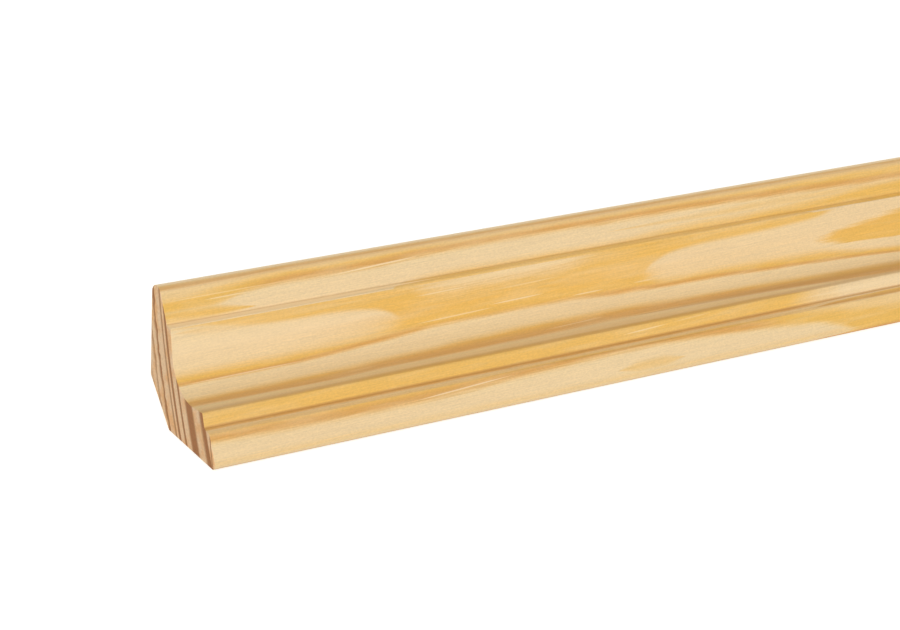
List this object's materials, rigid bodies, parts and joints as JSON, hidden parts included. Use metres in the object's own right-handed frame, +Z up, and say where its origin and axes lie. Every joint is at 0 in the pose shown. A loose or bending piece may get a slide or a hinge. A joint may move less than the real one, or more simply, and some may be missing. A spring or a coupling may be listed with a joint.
{
  "type": "cove moulding",
  "caption": "Long planed pine cove moulding with a hollow front between a leaning upper face and a stepped nose, flat wall and base faces and a bevelled back edge.",
  "frame": {"origin": "middle of the length and of the depth, on the floor plane under the base face", "axes": "+X along the length, -Y towards the room and the hollow front, +Z up from the base face to the rounded tip"},
  "size_m": [2.4, 0.03, 0.03],
  "materials": {
    "pine": "planed, unfinished"
  },
  "bodies": {
    "root": {"cove_moulding": "pine"}
  },
  "joints": []
}
